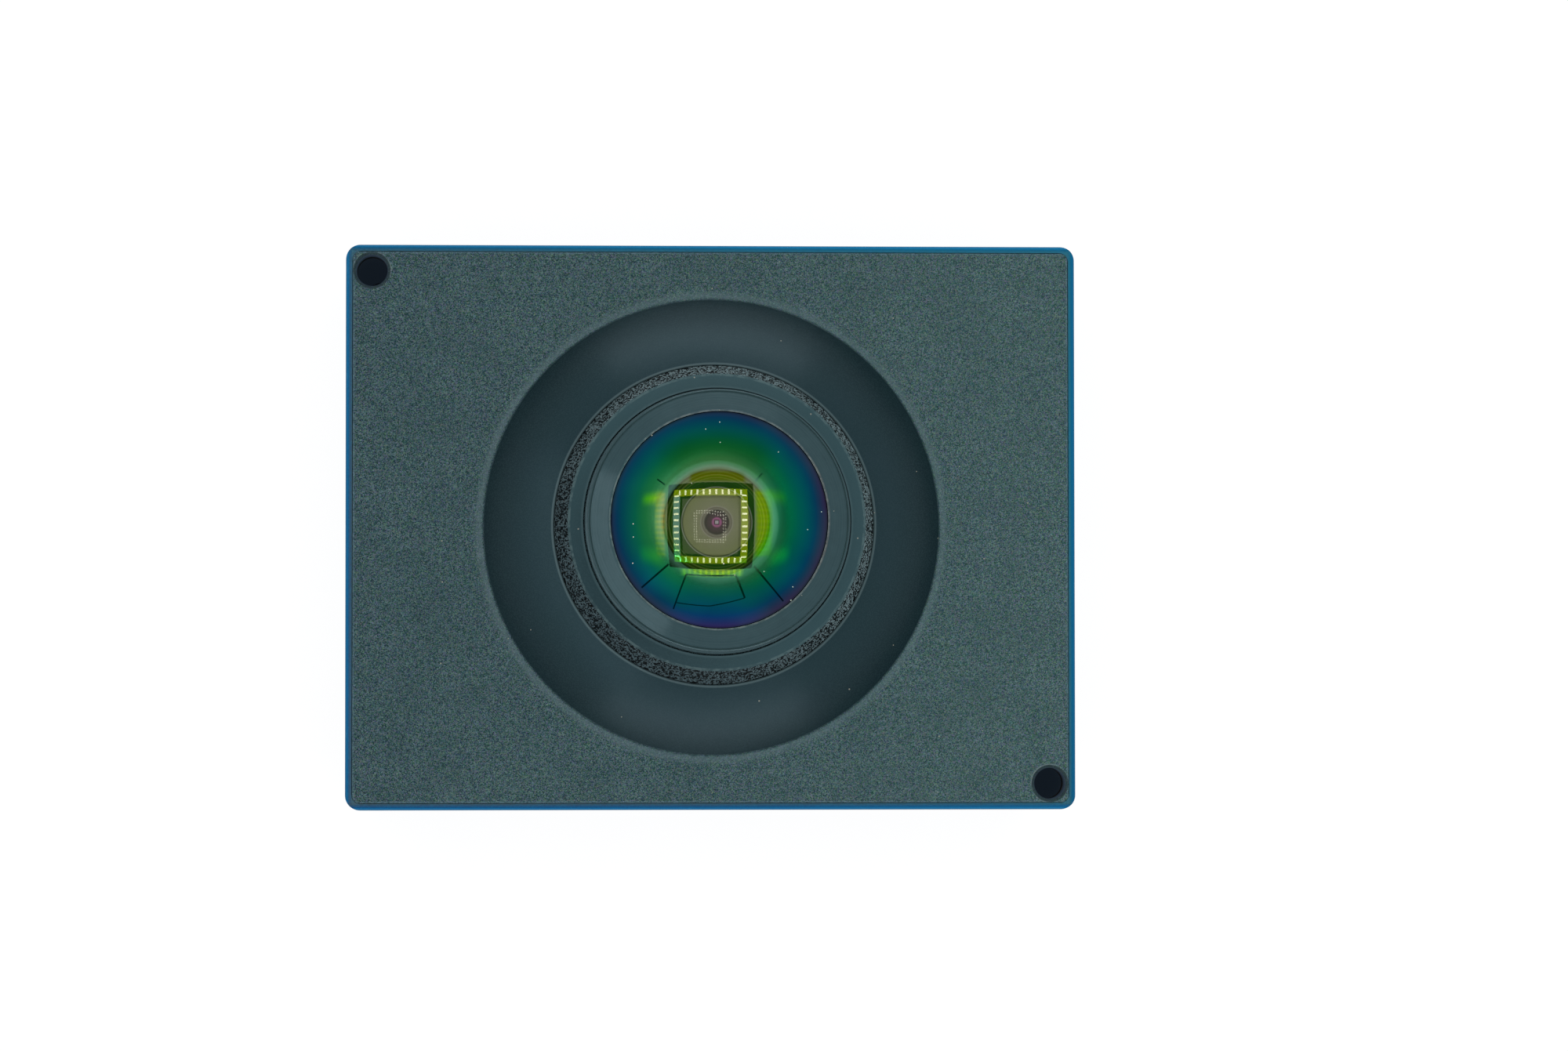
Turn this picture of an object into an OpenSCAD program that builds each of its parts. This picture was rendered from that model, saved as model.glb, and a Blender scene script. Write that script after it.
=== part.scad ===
// Wide-angle camera module in a shallow rectangular housing.
// The origin is the centre of the flat back, +Z runs along the lens axis towards the scene,
// +X along the long side and +Y along the short side, away from the connector.
// A blue metal housing frames a black moulded cover. The cover swells into a smooth cone round
// the lens, a tapered shroud stands out of it, and the lens ends in a cap round a glass dome.

/* [Housing] */
// Width of the housing
body_w = 42; // [40:0.5:48]
// Height of the housing
body_h = 32.5; // [32:0.5:40]
// Depth of the housing from its back to the front face
body_d = 20; // [20:0.5:24]
// Thickness of the side walls
wall = 1.6; // [1.4:0.1:1.8]
// Thickness of the housing floor
floor_t = 1.8; // [1.8:0.1:2]
// Radius of the upright corners
corner_r = 0.9; // [0.9:0.1:1.4]
// Width of the thin rim that frames the cover
rim_w = 0.38; // [0.34:0.02:0.4]
// Rounding of the long edges of the housing
edge_r = 0.32; // [0.1:0.02:0.34]

/* [Corner holes] */
// Radius of the two through holes for M1.6 screws
hole_r = 0.9; // [0.8:0.05:0.9]
// Distance of a hole's axis from both outer sides
hole_inset = 1.5; // [1.5:0.05:1.8]
// Width of the chamfer at the mouth of a hole
hole_chamfer = 0.16; // [0.05:0.01:0.16]

/* [Front cover] */
// Thickness of the cover plate
cover_t = 1.6; // [1.4:0.1:1.8]
// Radius of the foot of the cone
cone_r = 13.13; // [12.8:0.01:13.6]
// Radius of the aperture at the top of the cone
aperture_r = 9.08; // [9.05:0.01:9.15]
// Height of the aperture above the front face
cone_h = 4; // [3.8:0.1:4.2]
// Slope of the cone at its foot, in degrees
cone_slope = 49; // [46:1:52]
// Radius of the fillet that runs from the face into the cone
fillet_r = 0.6; // [0.4:0.05:0.7]

/* [Lens front] */
// Radius of the top edge of the textured shroud
shroud_top_r = 8.33; // [8.3:0.01:8.5]
// Height of that edge above the front face
shroud_h = 8.45; // [8.4:0.05:8.8]
// Radius of the opening in the shoulder of the shroud
shoulder_r = 7.46; // [7.45:0.01:7.56]
// Height of that opening above the front face
shoulder_h = 9.3; // [9.2:0.05:9.6]
// Radius of the retaining cap where it leaves the shroud
cap_r = 7.41; // [7.39:0.01:7.42]
// Radius of the upper edge of the cap's wall
cap_top_r = 7.2; // [7.12:0.01:7.21]
// Radius of the glass inside the cap
glass_r = 6; // [5.9:0.01:6]
// Height of the cap's inner edge above the front face
glass_h = 12.55; // [12.4:0.05:12.7]
// Radius of curvature of the outer face of the glass
dome_r = 12.7; // [12:0.1:14]

/* [Electronics] */
// Thickness of both circuit boards
board_t = 1.2; // [1:0.1:1.2]
// Gap between the two boards
board_gap = 4; // [4:0.1:4.4]
// Height of the main board above the back
main_z = 4.2; // [4.2:0.1:4.4]

/* [Hidden] */
$fn = 96;

// Slack between parts that are dropped into each other
slack = 0.02;
// Overshoot of every cutter
cut = 1;
// Depth by which fused shapes run into each other
bond = 0.2;

// Heights of the cover stack
gasket_t = 0.8;
cover_z = body_d - cover_t;
ledge_z = cover_z - gasket_t;
rim_z = body_d - 0.04;
cover_w = body_w - 2 * (rim_w + slack);
cover_h = body_h - 2 * (rim_w + slack);
cover_corner_r = corner_r - rim_w - slack;
cover_edge = 0.12;
cavity_w = body_w - 2 * wall;
cavity_h = body_h - 2 * wall;
cavity_r = 1.2;

// Corners: two carry a through hole, the other two a screw that closes the housing
hole_x = body_w / 2 - hole_inset;
hole_y = body_h / 2 - hole_inset;
hole_corners = [[-hole_x, hole_y], [hole_x, -hole_y]];
hole_column_r = 2.3;
screw_inset = 3.6;
screw_x = body_w / 2 - screw_inset;
screw_y = body_h / 2 - screw_inset;
screw_corners = [[screw_x, screw_y], [-screw_x, -screw_y]];
screw_column_r = 2.6;
screw_column_z = 12;
cover_boss_r = 1.9;
m2_r = 0.98;
m2_clear_r = 1.1;
m2_tap_r = 1;
m2_tap_spare = 0.4;
head_r = 1.75;
head_t = 1.3;
head_seat_z = 1.7;
head_well_r = 1.85;
cover_screw_end = cover_z - 1.8;
hex_key_af = 1.5;

// Spigot under the cover that locates it in the housing
spigot_t = 0.9;
spigot_z = ledge_z - 1.1;
spigot_slack = 0.1;
spigot_w = cavity_w - 2 * spigot_slack;
spigot_h = cavity_h - 2 * spigot_slack;
column_clearance = 0.15;

// The seal under the cover keeps clear of the rim
gasket_w = cover_w - 0.1;
gasket_h = cover_h - 0.1;

// Cone of the cover: its flank is an arc that flattens towards the aperture
cone_foot = [cone_r, body_d + fillet_r * (1 - cos(cone_slope))];
cone_top = [aperture_r, body_d + cone_h];
cone_chord = norm(cone_top - cone_foot);
cone_chord_angle = atan2(cone_top[1] - cone_foot[1], cone_foot[0] - cone_top[0]);
cone_half_turn = cone_slope - cone_chord_angle;
cone_arc_r = cone_chord / (2 * sin(cone_half_turn));
cone_arc_c = cone_foot - cone_arc_r * [sin(cone_slope), cos(cone_slope)];
fillet_foot_r = cone_r + fillet_r * sin(cone_slope);
bell_r = cone_r - 1;
lip_chamfer = 0.1;

// Lens shroud: a flange below the cover's aperture, a tapered wall and a conical shoulder
flange_r = 10.15;
flange_seat_z = body_d + 2.2;
flange_t = 1.2;
flange_z = flange_seat_z - flange_t;
shroud_foot_r = aperture_r - 0.03;
shroud_foot_z = body_d + cone_h - 0.1;
shroud_top_z = body_d + shroud_h;
shoulder_z = body_d + shoulder_h;
shroud_chamfer = 0.15;
shoulder_edge = 0.03;
flange_clearance = 0.05;
seal_bore_r = 7.1;
seal_bore_top = body_d + 8.4;
skirt_bore_r = 8.4;
skirt_bore_top = body_d + 4.4;

// Lens barrel, stepped outside and inside
thread_r = 6;
barrel_z = 13.6;
neck_z = body_d + 4.2;
head_barrel_r = 7;
cap_thread_r = 6.8;
cap_z = body_d + 8.9;
seal_z = body_d + 6.3;
seal_tube_r = 0.39;
seal_ring_r = 6.7;
seal_groove_r = 6.3;
seal_groove_w = 1.1;
seat_1_z = body_d + 10.3;
barrel_top = seat_1_z + 1.3;
thread_chamfer = 0.3;
head_chamfer = 0.2;
bore_1_r = 6.35;
bore_2_r = 5.3;
seat_2_z = 25.2;
bore_3_r = 4.4;
seat_3_z = 21;
bore_4_r = 3.9;
seat_4_z = 14.2;
rear_window_r = 3.2;

// Retaining cap: its wall narrows at a step, a turned groove lies behind its upper edge,
// and the top ring slopes up to a land that holds the glass
cap_wall_top = body_d + 11.7;
cap_step_z = body_d + 10.35;
cap_step = 0.09;
cap_step_h = 0.06;
cap_draft = 0.05;
cap_edge = 0.04;
cap_groove_w = 0.08;
cap_groove_d = 0.1;
cap_brow = 0.03;
cap_groove_r = cap_top_r - cap_brow;
cap_ring_rise = 0.08;
cap_land = 0.12;
glass_z = body_d + glass_h;
cap_lip = 0.1;
cap_under = 0.24;

// Lens elements. Each spherical face has a centre on the axis and a radius.
front_rim_r = 6.3;
dome_z = glass_z - cap_lip - sqrt(dome_r * dome_r - glass_r * glass_r);
front_hollow = [seat_1_z - 2.43, 5.2];
second_dome = [seat_2_z - 12, 15.2];
second_hollow = [seat_2_z - 2.6, 4.5];
third_dome = [seat_3_z - 4.4, 7.6];
fourth_z = seat_4_z + 3.2;
fourth_dome = [fourth_z - 5.7, 7.9];
rear_dome = [seat_4_z - 5, 7.4];

// Rings between the elements. Each stands on the face below it, where its inner edge meets it.
front_spacer_r = 4.75;
middle_spacer_r = 3;
stop_z = fourth_z + 2.25;
stop_t = 0.15;
stop_r = 1.4;
stop_skirt_r = 3.3;
rear_spacer_r = 3.1;

// Lens mount, filter and sensor
sensor_board_z = main_z + board_t + board_gap;
deck_z = sensor_board_z + board_t;
mount_base = 16;
mount_base_t = 2;
mount_tube_r = 7.5;
mount_top = 21.55;
mount_ear_x = 10.4;
mount_ear_r = 1.9;
mount_throat_r = 3.7;
mount_tap_depth = 1.7;
thread_end_gap = 0.1;
package_gap = 0.4;
package_recess = 1.7;
thread_relief = 0.5;
filter_seat_z = deck_z + 2;
filter_t = 0.35;
filter_w = 8;
lock_ring_t = 1.9;
lock_ring_r = 8.2;
key_r = 0.8;
key_x = 8.4;
package_w = 9.6;
package_h = 8.4;
package_t = 1;
package_floor = 0.35;
package_wall = 0.9;
sensor_glass_t = 0.45;
die_t = 0.3;
die_w = package_w - 2.6;
die_h = package_h - 3;

// Circuit boards
board_w = cavity_w - 1.2;
board_h = cavity_h - 1.2;
board_corner_r = 0.6;
notch_r = 3.2;
spacer_x = 12.4;
spacer_y = 11.2;
m16_r = 0.78;
m16_clear_r = 0.85;
m16_tap_r = 0.8;
m16_tap_spare = 0.6;
m16_head_r = 1.4;
m16_head_t = 0.9;
post_r = 1.9;
spacer_af = 3.4;
mezzanine_y = 8.6;
mezzanine_l = 15;
mezzanine_w = 4.2;
mezzanine_wall = 0.9;
mezzanine_floor = 0.5;
mezzanine_gap = 0.1;
mezzanine_split = 3;
plug_l = mezzanine_l - 2 * (mezzanine_wall + mezzanine_gap);
plug_w = mezzanine_w - 2 * (mezzanine_wall + mezzanine_gap);
chip_w = 12;
chip_t = 1.4;
can_x = 10.5;
can_w = 9;
can_h = 10;
can_t = 1.7;
can_wall = 0.2;
inductor_w = 3;
inductor_t = 1.2;
inductor_y = 2.4;
capacitor = [0.5, 1, 0.5];
capacitor_pitch = 1.6;
capacitor_y = mount_base / 2 + 1.3;
memory_x = -10.5;
memory_w = 9;
memory_h = 8;
memory_t = 1;

// Connector in the lower side wall
port_w = 8.94;
port_h = 3.26;
port_shell_t = 0.3;
port_l = 7.35;
port_depth = port_l - 1;
port_z = main_z + board_t + port_h / 2 + 0.02;
port_y = -body_h / 2 + 0.1;
port_window = 0.22;
tongue_w = 6.7;
tongue_t = 0.7;
tongue_l = 5;
tongue_inset = 0.6;
tongue_end = tongue_inset + tongue_l;
contact_w = 0.26;
contact_pitch = 0.5;
contact_t = 0.06;
contact_l = 3.6;
contact_inset = 1.1;

// Colours
housing_blue = [0.03, 0.3, 0.52];
cover_black = [0.16, 0.2, 0.21];
barrel_black = [0.12, 0.15, 0.16];
board_green = [0.05, 0.3, 0.16];
chip_black = [0.08, 0.08, 0.09];
metal_grey = [0.7, 0.7, 0.72];
glass_tint = [0.05, 0.35, 0.3, 0.6];

// A rectangle with round corners, centred
module rounded_rect(w, h, r) {
    square([w - 2 * r, h], center = true);
    square([w, h - 2 * r], center = true);
    for (x = [-1, 1], y = [-1, 1])
        translate([x * (w / 2 - r), y * (h / 2 - r)]) circle(r, $fn = 48);
}

// A slab with round upright corners, from height z0 to z1
module slab(w, h, r, z0, z1) {
    translate([0, 0, z0]) linear_extrude(z1 - z0) rounded_rect(w, h, r);
}

// A section through the housing: flat below, with its four edges rounded by r
module edge_section(w, z1, r) {
    translate([0, z1 / 2]) rounded_rect(w, z1, r);
}

// A slab whose upright corners and long edges are all rounded
module eased_slab(w, h, r, edge, z1) {
    intersection() {
        slab(w, h, r, -cut, z1 + cut);
        rotate([90, 0, 0]) linear_extrude(h + 2 * cut, center = true) edge_section(w, z1, edge);
        rotate([90, 0, 90]) linear_extrude(w + 2 * cut, center = true) edge_section(h, z1, edge);
    }
}

// A round bar from height z0 to z1, at each place in the list
module bars(places, r, z0, z1) {
    for (p = places)
        translate([p[0], p[1], z0]) cylinder(r = r, h = z1 - z0);
}

// A ring of square section about the lens axis
module ring(r_in, r_out, z0, z1) {
    rotate_extrude() translate([r_in, z0]) square([r_out - r_in, z1 - z0]);
}

// A slot with round ends, w wide and h high, cut along +Y from y0 over a length l
module slot_along_y(w, h, y0, l) {
    translate([0, y0 + l, port_z]) rotate([90, 0, 0]) linear_extrude(l) slot_section(w, h);
}

module slot_section(w, h) {
    square([w - h, h], center = true);
    for (x = [-1, 1])
        translate([x * (w - h) / 2, 0]) circle(h / 2, $fn = 48);
}

// The four places where the boards are screwed down
board_places = [for (x = [-1, 1], y = [-1, 1]) [x * spacer_x, y * spacer_y]];

module rear_housing() color(housing_blue)
difference() {
    union() {
        difference() {
            eased_slab(body_w, body_h, corner_r, edge_r, rim_z);
            slab(cover_w + 2 * slack, cover_h + 2 * slack, cover_corner_r + slack, ledge_z, body_d + cut);
            slab(cavity_w, cavity_h, cavity_r, floor_t, body_d);
        }
        intersection() {
            union() {
                bars(hole_corners, hole_column_r, floor_t - cut / 2, ledge_z);
                bars(screw_corners, screw_column_r, floor_t - cut / 2, screw_column_z);
            }
            slab(body_w - wall, body_h - wall, corner_r, 0, body_d);
        }
        bars(board_places, post_r, floor_t - cut / 2, main_z);
    }
    bars(hole_corners, hole_r, -cut, body_d + cut);
    bars(screw_corners, m2_clear_r, -cut, body_d);
    bars(screw_corners, head_well_r, -cut, head_seat_z);
    bars(board_places, m16_tap_r, floor_t - m16_tap_spare, body_d);
    slot_along_y(port_w + 2 * port_window, port_h + 2 * port_window, -body_h / 2 - cut, wall + 2 * cut);
}

module cover_gasket() color([0.1, 0.1, 0.1])
difference() {
    union() {
        difference() {
            slab(gasket_w, gasket_h, cover_corner_r, ledge_z, cover_z);
            slab(cavity_w, cavity_h, cavity_r, ledge_z - cut, cover_z + cut);
        }
        intersection() {
            bars(hole_corners, hole_column_r, ledge_z, cover_z);
            slab(gasket_w, gasket_h, cover_corner_r, 0, body_d);
        }
    }
    bars(hole_corners, hole_r, ledge_z - cut, cover_z + cut);
}

// Half section of the cone: the face runs through a fillet into the arched flank
module cone_section() {
    difference() {
        union() {
            intersection() {
                translate([0, cover_z]) square([fillet_foot_r, cone_top[1] - cover_z]);
                translate(cone_arc_c) circle(cone_arc_r, $fn = 360);
            }
            translate([0, cover_z]) square([fillet_foot_r, cone_foot[1] - cover_z]);
        }
        translate([fillet_foot_r, body_d + fillet_r]) circle(fillet_r, $fn = 48);
    }
}

module front_cover() color(cover_black)
difference() {
    union() {
        intersection() {
            slab(cover_w, cover_h, cover_corner_r, cover_z, body_d);
            translate([0, 0, cover_z])
                eased_slab(cover_w, cover_h, cover_corner_r, cover_edge, body_d - cover_z);
        }
        rotate_extrude($fn = 180) cone_section();
        difference() {
            slab(spigot_w, spigot_h, cavity_r - spigot_slack, spigot_z, cover_z + bond);
            slab(spigot_w - 2 * spigot_t, spigot_h - 2 * spigot_t, cavity_r - spigot_slack,
                 spigot_z - cut, cover_z + cut);
            bars(hole_corners, hole_column_r + column_clearance, spigot_z - cut, cover_z);
        }
        bars(screw_corners, cover_boss_r, screw_column_z + slack, cover_z + bond);
    }
    rotate_extrude($fn = 180) cover_bore_section();
    bars(hole_corners, hole_r, cover_z - cut, body_d + cut);
    for (p = hole_corners)
        translate([p[0], p[1], body_d - hole_chamfer])
            cylinder(r1 = hole_r, r2 = hole_r + hole_chamfer + cut, h = hole_chamfer + cut);
    bars(screw_corners, m2_tap_r, screw_column_z - cut, cover_screw_end + m2_tap_spare);
}

// What is hollow under the cone: the lens aperture, the flange's seat and the flared inside
module cover_bore_section() {
    polygon([
        [0, cover_z - cut],
        [bell_r, cover_z - cut],
        [bell_r, cover_z],
        [flange_r + flange_clearance, flange_z],
        [flange_r + flange_clearance, flange_seat_z],
        [aperture_r, flange_seat_z],
        [aperture_r, cone_top[1] - lip_chamfer],
        [aperture_r + lip_chamfer, cone_top[1]],
        [aperture_r + lip_chamfer + cut, cone_top[1] + cut],
        [0, cone_top[1] + cut]
    ]);
}

module lens_shroud() color(cover_black)
rotate_extrude($fn = 180) polygon([
    [skirt_bore_r, flange_z],
    [flange_r, flange_z],
    [flange_r, flange_seat_z],
    [shroud_foot_r, flange_seat_z],
    [shroud_foot_r, shroud_foot_z],
    [shroud_top_r, shroud_top_z],
    [shroud_top_r - shroud_chamfer, shroud_top_z + shroud_chamfer],
    [shoulder_r + shoulder_edge, shoulder_z],
    [shoulder_r, shoulder_z - shoulder_edge],
    [shoulder_r, seal_bore_top],
    [seal_bore_r, seal_bore_top],
    [seal_bore_r, skirt_bore_top],
    [skirt_bore_r, skirt_bore_top]
]);

// The cap screws over the barrel's end: a stepped wall, a turned groove, a sloping top ring
module retaining_cap() color(barrel_black)
rotate_extrude($fn = 180) polygon([
    [cap_thread_r + slack, cap_z],
    [cap_r, cap_z],
    [cap_r, shoulder_z + shoulder_edge],
    [cap_r - cap_draft, cap_step_z],
    [cap_r - cap_draft - cap_step, cap_step_z + cap_step_h],
    [cap_top_r + cap_edge, cap_wall_top - cap_edge],
    [cap_top_r, cap_wall_top],
    [cap_groove_r, cap_wall_top],
    [cap_groove_r, cap_wall_top - cap_groove_d],
    [cap_groove_r - cap_groove_w, cap_wall_top - cap_groove_d],
    [cap_groove_r - cap_groove_w, cap_wall_top + cap_ring_rise],
    [glass_r + cap_land, glass_z],
    [glass_r, glass_z - cap_lip / 2],
    [glass_r, glass_z - cap_lip],
    [bore_1_r, glass_z - cap_under],
    [bore_1_r, barrel_top],
    [cap_thread_r + slack, barrel_top]
]);

module lens_barrel() color(barrel_black)
rotate_extrude() polygon([
    [rear_window_r, barrel_z],
    [thread_r - thread_chamfer, barrel_z],
    [thread_r, barrel_z + thread_chamfer],
    [thread_r, neck_z],
    [head_barrel_r - head_chamfer, neck_z],
    [head_barrel_r, neck_z + head_chamfer],
    [head_barrel_r, seal_z - seal_groove_w / 2],
    [seal_groove_r, seal_z - seal_groove_w / 2],
    [seal_groove_r, seal_z + seal_groove_w / 2],
    [head_barrel_r, seal_z + seal_groove_w / 2],
    [head_barrel_r, cap_z - slack],
    [cap_thread_r, cap_z - slack],
    [cap_thread_r, barrel_top - slack],
    [bore_1_r, barrel_top - slack],
    [bore_1_r, seat_1_z],
    [bore_2_r, seat_1_z],
    [bore_2_r, seat_2_z],
    [bore_3_r, seat_2_z],
    [bore_3_r, seat_3_z],
    [bore_4_r, seat_3_z],
    [bore_4_r, seat_4_z],
    [rear_window_r, seat_4_z]
]);

module barrel_seal() color([0.06, 0.06, 0.06])
rotate_extrude() translate([seal_ring_r, seal_z]) circle(seal_tube_r, $fn = 32);

module lens_lock_ring() color(barrel_black)
difference() {
    ring(thread_r + slack, lock_ring_r, mount_top + slack, mount_top + lock_ring_t);
    for (a = [0 : 60 : 300])
        rotate(a) translate([key_x, 0, mount_top])
            cylinder(r = key_r, h = lock_ring_t + cut, $fn = 32);
}

// Screwed base with two ears, a threaded tube, and a window with a seat for the filter
module lens_mount() color(barrel_black)
difference() {
    union() {
        slab(mount_base, mount_base, 1, deck_z, deck_z + mount_base_t);
        for (x = [-1, 1]) {
            translate([x * mount_ear_x, 0, deck_z]) cylinder(r = mount_ear_r, h = mount_base_t);
            translate([x * mount_ear_x / 2, 0, deck_z + mount_base_t / 2])
                cube([mount_ear_x, 2 * mount_ear_r, mount_base_t], center = true);
        }
        bars([[0, 0]], mount_tube_r, deck_z + mount_base_t / 2, mount_top);
    }
    translate([0, 0, deck_z - cut]) linear_extrude(package_recess + cut)
        square([package_w + 2 * package_gap, package_h + 2 * package_gap], center = true);
    translate([0, 0, deck_z - cut])
        linear_extrude(filter_seat_z + filter_t + slack - deck_z + cut)
            square(filter_w + 0.1, center = true);
    bars([[0, 0]], thread_r + slack, filter_seat_z + filter_t + thread_relief, mount_top + cut);
    bars([[0, 0]], mount_throat_r, deck_z, mount_top);
    bars([[-mount_ear_x, 0], [mount_ear_x, 0]], m16_tap_r, deck_z - cut, deck_z + mount_tap_depth);
}

// A lens element: its rim starts at z0, its front is a dome, and its back is hollow.
// dome and hollow are [centre on the axis, radius].
module meniscus(rim_r, z0, dome, hollow) {
    rotate_extrude() difference() {
        intersection() {
            translate([0, z0]) square([rim_r, dome[1]]);
            translate([0, dome[0]]) circle(dome[1], $fn = 180);
        }
        translate([0, hollow[0]]) circle(hollow[1], $fn = 180);
    }
}

// A lens element with a flat back at z0
module plano_convex(rim_r, z0, dome) {
    rotate_extrude() intersection() {
        translate([0, z0]) square([rim_r, dome[1]]);
        translate([0, dome[0]]) circle(dome[1], $fn = 180);
    }
}

// Height at which a ring of inner radius r rests on a dome
function on_dome(dome, r) = dome[0] + sqrt(dome[1] * dome[1] - r * r);

module front_element() color(glass_tint)
meniscus(front_rim_r, seat_1_z, [dome_z, dome_r], front_hollow);

module second_element() color(glass_tint)
meniscus(bore_2_r - slack, seat_2_z, second_dome, second_hollow);

module third_element() color(glass_tint)
plano_convex(bore_3_r - slack, seat_3_z, third_dome);

module fourth_element() color(glass_tint)
plano_convex(bore_4_r - slack, fourth_z, fourth_dome);

module rear_element() color(glass_tint)
plano_convex(bore_4_r - slack, seat_4_z, rear_dome);

module front_spacer() color(barrel_black)
ring(front_spacer_r, bore_2_r - slack, on_dome(second_dome, front_spacer_r), seat_1_z - slack);

module middle_spacer() color(barrel_black)
ring(middle_spacer_r, bore_4_r - slack, stop_z + stop_t, seat_3_z);

// A thin disc on a skirt that stands on the fourth element
module aperture_stop() color(chip_black)
union() {
    ring(stop_r, bore_4_r - slack, stop_z, stop_z + stop_t);
    ring(stop_skirt_r, bore_4_r - slack, on_dome(fourth_dome, stop_skirt_r), stop_z + stop_t);
}

module rear_spacer() color(barrel_black)
ring(rear_spacer_r, bore_4_r - slack, on_dome(rear_dome, rear_spacer_r), fourth_z - slack);

module infrared_filter() color([0.45, 0.7, 0.75, 0.6])
translate([-filter_w / 2, -filter_w / 2, filter_seat_z]) cube([filter_w, filter_w, filter_t]);

// Ceramic tub with a step for its cover glass
module sensor_package() color([0.75, 0.72, 0.66])
difference() {
    slab(package_w, package_h, 0.3, deck_z, deck_z + package_t);
    translate([0, 0, deck_z + package_floor]) linear_extrude(package_t)
        square([package_w - 2 * package_wall, package_h - 2 * package_wall], center = true);
}

module sensor_die() color([0.15, 0.1, 0.2])
translate([0, 0, deck_z + package_floor]) linear_extrude(die_t) square([die_w, die_h], center = true);

module sensor_glass() color(glass_tint)
slab(package_w - 0.6, package_h - 0.6, 0.2, deck_z + package_t, deck_z + package_t + sensor_glass_t);

// Both boards share an outline that gives way to the four corner columns
module board_outline() {
    difference() {
        rounded_rect(board_w, board_h, board_corner_r);
        for (p = concat(hole_corners, screw_corners))
            translate(p) circle(notch_r);
        for (p = board_places)
            translate(p) circle(m16_clear_r, $fn = 32);
    }
}

module sensor_board() color(board_green)
translate([0, 0, sensor_board_z]) linear_extrude(board_t) difference() {
    board_outline();
    for (x = [-1, 1])
        translate([x * mount_ear_x, 0]) circle(m16_clear_r, $fn = 32);
}

module main_board() color(board_green)
translate([0, 0, main_z]) linear_extrude(board_t) board_outline();

module mezzanine_socket() color([0.9, 0.88, 0.8])
translate([0, mezzanine_y, main_z + board_t]) difference() {
    translate([-mezzanine_l / 2, -mezzanine_w / 2, 0]) cube([mezzanine_l, mezzanine_w, mezzanine_split]);
    translate([mezzanine_wall - mezzanine_l / 2, mezzanine_wall - mezzanine_w / 2, mezzanine_floor])
        cube([mezzanine_l - 2 * mezzanine_wall, mezzanine_w - 2 * mezzanine_wall, mezzanine_split]);
}

module mezzanine_plug() color([0.9, 0.88, 0.8])
translate([0, mezzanine_y, main_z + board_t]) {
    translate([-mezzanine_l / 2, -mezzanine_w / 2, mezzanine_split])
        cube([mezzanine_l, mezzanine_w, board_gap - mezzanine_split]);
    translate([-plug_l / 2, -plug_w / 2, mezzanine_floor + mezzanine_gap])
        cube([plug_l, plug_w, mezzanine_split]);
}

module processor_chip() color(chip_black)
slab(chip_w, chip_w, 0.2, main_z - chip_t, main_z);

module thermal_pad() color([0.6, 0.65, 0.75])
slab(chip_w + 1, chip_w + 1, 0.5, floor_t, main_z - chip_t);

module memory_chip() color(chip_black)
translate([memory_x, 0, 0])
    slab(memory_w, memory_h, 0.15, main_z + board_t, main_z + board_t + memory_t);

module shield_can() color(metal_grey)
translate([can_x, 0, 0]) difference() {
    slab(can_w, can_h, 0.6, main_z + board_t, main_z + board_t + can_t);
    slab(can_w - 2 * can_wall, can_h - 2 * can_wall, 0.4, main_z, main_z + board_t + can_t - can_wall);
}

module power_inductors() color([0.3, 0.3, 0.32])
for (y = [-1, 1])
    translate([can_x, y * inductor_y, 0])
        slab(inductor_w, inductor_w, 0.5, main_z + board_t, main_z + board_t + inductor_t);

// A row of chip capacitors along each long side of the lens mount
module ceramic_capacitors() color([0.7, 0.6, 0.45])
for (y = [-1, 1], k = [-3 : 3])
    translate([k * capacitor_pitch, y * capacitor_y, deck_z + capacitor[2] / 2])
        cube(capacitor, center = true);

module board_spacers() color(metal_grey)
for (p = board_places)
    translate([p[0], p[1], main_z + board_t]) difference() {
        cylinder(r = spacer_af / 2 / cos(30), h = board_gap, $fn = 6);
        translate([0, 0, -cut]) cylinder(r = m16_clear_r, h = board_gap + 2 * cut);
    }

// A cap screw with its head up: head from z0, shank downwards over length l
module screw(shank_r, l, cap_head_r, cap_head_t, socket_af) {
    difference() {
        union() {
            translate([0, 0, -l]) cylinder(r = shank_r, h = l + bond, $fn = 48);
            cylinder(r = cap_head_r, h = cap_head_t, $fn = 48);
        }
        translate([0, 0, cap_head_t / 2])
            cylinder(r = socket_af / 2 / cos(30), h = cap_head_t, $fn = 6);
    }
}

module board_screws() color(metal_grey)
for (p = board_places)
    translate([p[0], p[1], deck_z])
        screw(m16_r, deck_z - floor_t, m16_head_r, m16_head_t, hex_key_af);

module mount_screws() color(metal_grey)
for (x = [-1, 1])
    translate([x * mount_ear_x, 0, sensor_board_z]) rotate([180, 0, 0])
        screw(m16_r, board_t + mount_tap_depth - thread_end_gap, m16_head_r, m16_head_t, hex_key_af);

module cover_screws() color(metal_grey)
for (p = screw_corners)
    translate([p[0], p[1], head_seat_z]) rotate([180, 0, 0])
        screw(m2_r, cover_screw_end - head_seat_z, head_r, head_t, hex_key_af);

module connector_shell() color(metal_grey)
difference() {
    slot_along_y(port_w, port_h, port_y, port_l);
    slot_along_y(port_w - 2 * port_shell_t, port_h - 2 * port_shell_t, port_y - cut, port_depth + cut);
}

module connector_tongue() color(chip_black)
union() {
    slot_along_y(port_w - 2 * port_shell_t - 2 * slack, port_h - 2 * port_shell_t - 2 * slack,
                 port_y + tongue_end, port_depth - tongue_end);
    translate([-tongue_w / 2, port_y + tongue_inset, port_z - tongue_t / 2])
        cube([tongue_w, tongue_l + bond, tongue_t]);
}

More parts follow.
